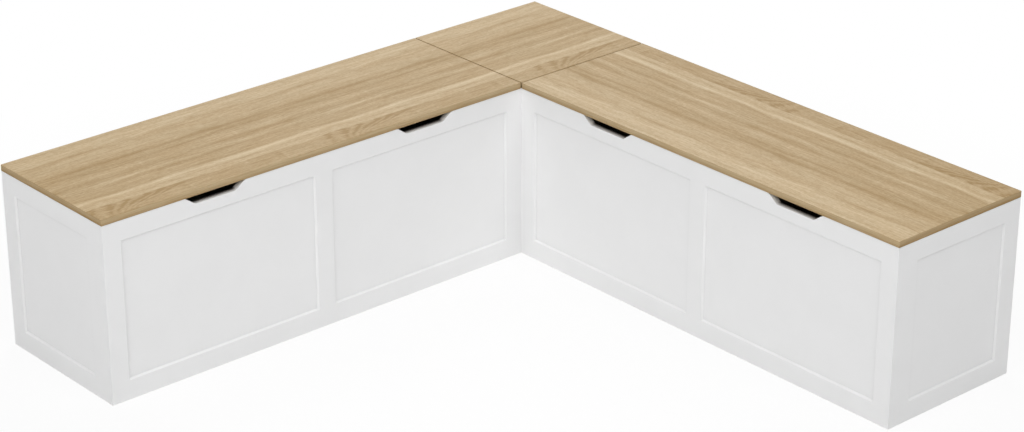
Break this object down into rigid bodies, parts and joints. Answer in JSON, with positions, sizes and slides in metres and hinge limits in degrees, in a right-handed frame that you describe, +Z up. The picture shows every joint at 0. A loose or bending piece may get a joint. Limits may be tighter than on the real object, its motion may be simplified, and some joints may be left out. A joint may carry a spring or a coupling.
{
  "type": "corner storage bench",
  "caption": "L-shaped corner storage bench with long hinged oak-look lids, white framed fronts with finger notches under the lids, and a fixed corner seat.",
  "frame": {"origin": "on the floor, below the centre of the bench's box", "axes": "+Z up; the right wing runs along +X with its front to -Y, and the left wing runs along Y with its front to +X; the outer back corner is at -X, +Y"},
  "size_m": [1.6064, 1.6064, 0.45],
  "materials": {
    "oak_laminate": "matt oak-look laminate on chipboard",
    "white_laminate": "satin white foil on chipboard",
    "softwood": "planed, untreated",
    "beech": "fluted dowel, untreated",
    "felt": "pressed felt",
    "zinc_casting": "plain die casting",
    "zinc_plated_steel": "bright zinc plate"
  },
  "bodies": {
    "carcass": {"corner_back_screws": "zinc_plated_steel", "corner_cam_bolts": "zinc_plated_steel", "corner_cams": "zinc_casting", "corner_dowels": "beech", "corner_left_back_panel": "white_laminate", "corner_left_cleat": "softwood", "corner_post": "softwood", "corner_right_back_panel": "white_laminate", "corner_right_cleat": "softwood", "corner_top": "oak_laminate", "corner_top_screws": "zinc_plated_steel", "left_back_panel": "white_laminate", "left_back_screws": "zinc_plated_steel", "left_bottom_panel": "white_laminate", "left_cam_bolts": "zinc_plated_steel", "left_cams": "zinc_casting", "left_corner_screws": "zinc_plated_steel", "left_divider": "white_laminate", "left_dowels": "beech", "left_end_panel": "white_laminate", "left_fixed_leaf_screws": "zinc_plated_steel", "left_front_panel": "white_laminate", "left_hinge_fixed_leaves": "zinc_plated_steel", "left_hinge_pins": "zinc_plated_steel", "left_inner_side_panel": "white_laminate", "left_lid_pads": "felt", "right_back_panel": "white_laminate", "right_back_screws": "zinc_plated_steel", "right_bottom_panel": "white_laminate", "right_cam_bolts": "zinc_plated_steel", "right_cams": "zinc_casting", "right_corner_screws": "zinc_plated_steel", "right_divider": "white_laminate", "right_dowels": "beech", "right_end_panel": "white_laminate", "right_fixed_leaf_screws": "zinc_plated_steel", "right_front_panel": "white_laminate", "right_hinge_fixed_leaves": "zinc_plated_steel", "right_hinge_pins": "zinc_plated_steel", "right_inner_side_panel": "white_laminate", "right_lid_pads": "felt"},
    "left_lid": {"left_lid": "oak_laminate", "left_hinge_lid_leaves": "zinc_plated_steel", "left_lid_leaf_screws": "zinc_plated_steel"},
    "right_lid": {"right_lid": "oak_laminate", "right_hinge_lid_leaves": "zinc_plated_steel", "right_lid_leaf_screws": "zinc_plated_steel"}
  },
  "joints": [
    {"name": "left_lid_hinge", "type": "hinge", "parent": "carcass", "child": "left_lid", "pos_m": [-0.8002, -0.2024, 0.4347], "axis": [0, -1, 0], "range_deg": [0, 95]},
    {"name": "right_lid_hinge", "type": "hinge", "parent": "carcass", "child": "right_lid", "pos_m": [0.2024, 0.8002, 0.4347], "axis": [-1, 0, 0], "range_deg": [0, 95]}
  ]
}
